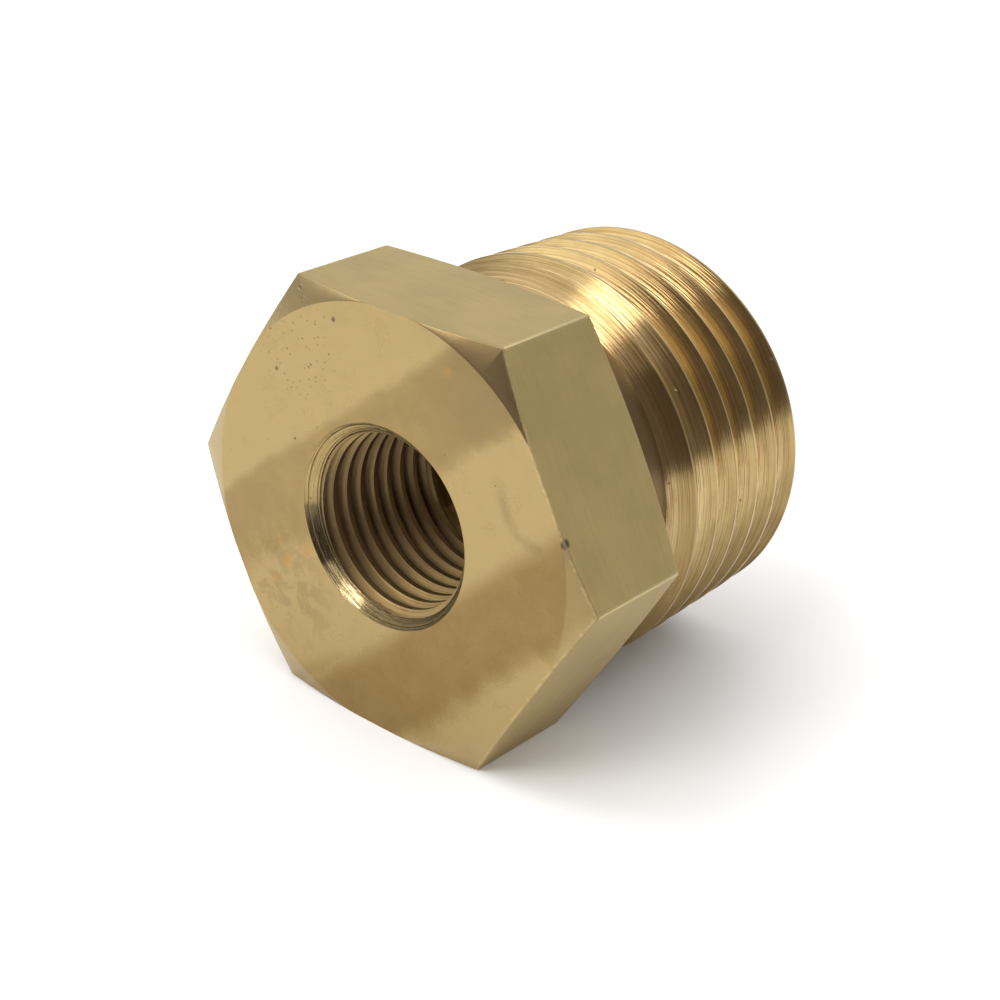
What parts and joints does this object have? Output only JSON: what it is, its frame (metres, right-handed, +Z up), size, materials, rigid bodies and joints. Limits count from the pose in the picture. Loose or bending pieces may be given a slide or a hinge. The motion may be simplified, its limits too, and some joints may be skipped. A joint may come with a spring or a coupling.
{
  "type": "hex bushing",
  "caption": "Brass reducing bushing: a chamfered hexagon head, a tapered male pipe thread behind it and a smaller tapered female pipe thread down its bore.",
  "frame": {"origin": "on the bore's axis, halfway along the bushing", "axes": "+Y along the bore from the hexagon face to the thread end, +Z up out of one of the hexagon's flats, as it lies on the opposite flat"},
  "size_m": [0.0254, 0.021, 0.022],
  "materials": {
    "brass": "bare machined brass, satin flats and bright turned faces"
  },
  "bodies": {
    "root": {"hex_bushing": "brass"}
  },
  "joints": []
}
